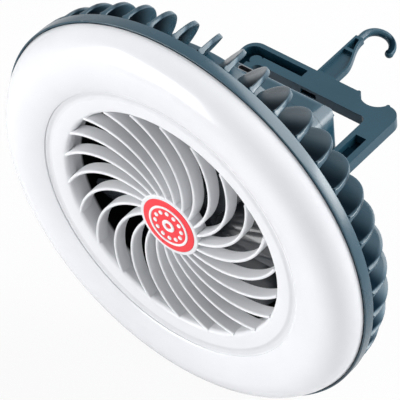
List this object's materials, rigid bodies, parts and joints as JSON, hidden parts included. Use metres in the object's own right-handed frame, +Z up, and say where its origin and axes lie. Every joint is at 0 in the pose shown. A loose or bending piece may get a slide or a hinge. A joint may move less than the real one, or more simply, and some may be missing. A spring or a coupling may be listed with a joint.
{
  "type": "portable camping fan",
  "caption": "Round camping fan with a ring lamp, spiral grille, petal-finned rear housing, battery case and a fold-out hanging bracket with a hook.",
  "frame": {"origin": "middle of the bounding box in X and Y, at the lowest point of the rim, where the fan would touch a table", "axes": "the fan axis is level with the front facing -Y; +Z up; +X along the bracket bar, to the right seen from the front"},
  "size_m": [0.2036, 0.1586, 0.2036],
  "materials": {
    "housing_teal": "satin moulded",
    "diffuser_white": "milky translucent gloss",
    "grille_white": "satin moulded",
    "badge_red": "printed gloss",
    "badge_white": "printed gloss",
    "impeller_grey": "satin moulded",
    "steel": "machined",
    "board_green": "solder mask",
    "board_white": "white solder mask",
    "chip_yellow": "phosphor",
    "copper": "varnished wire",
    "magnet_dark": "black coated",
    "cell_wrap": "shrink wrap",
    "black_plastic": "moulded",
    "button_white": "gloss"
  },
  "bodies": {
    "housing": {"rear_shell": "housing_teal", "diffuser_ring": "diffuser_white", "led_board": "board_white", "led_chips": "chip_yellow", "front_grille": "grille_white", "hub_badge": "badge_red", "badge_inlay": "badge_white", "fan_duct": "grille_white", "duct_screws": "steel", "motor_mount": "steel", "mount_screws": "steel", "motor_stator": "copper", "shaft_bearings": "steel", "battery_case": "housing_teal", "rear_cover": "housing_teal", "cover_screws": "steel", "battery_cells": "cell_wrap", "cell_cradle": "black_plastic", "control_board": "board_green", "usb_socket": "steel", "switch_board": "board_green", "tact_switches": "black_plastic", "pivot_screws": "steel", "friction_washers": "steel"},
    "rotor": {"impeller": "impeller_grey", "motor_can": "steel", "rotor_magnets": "magnet_dark", "motor_shaft": "steel", "shaft_clip": "black_plastic"},
    "bracket": {"bracket_frame": "housing_teal"},
    "fan_key": {"fan_button": "button_white"},
    "light_key": {"light_button": "button_white"}
  },
  "joints": [
    {"name": "impeller_spin", "type": "hinge", "parent": "housing", "child": "rotor", "pos_m": [0, -0.0663, 0.1018], "axis": [0, -1, 0], "continuous": true},
    {"name": "bracket_fold", "type": "hinge", "parent": "housing", "child": "bracket", "pos_m": [0, -0.0213, 0.1018], "axis": [1, 0, 0], "range_deg": [-90, 90]},
    {"name": "fan_key_press", "type": "slide", "parent": "housing", "child": "fan_key", "axis": [0, 0, 1], "range_m": [0, 0.0006], "stiffness_N_per_m": 600},
    {"name": "light_key_press", "type": "slide", "parent": "housing", "child": "light_key", "axis": [0, 0, 1], "range_m": [0, 0.0006], "stiffness_N_per_m": 600}
  ]
}
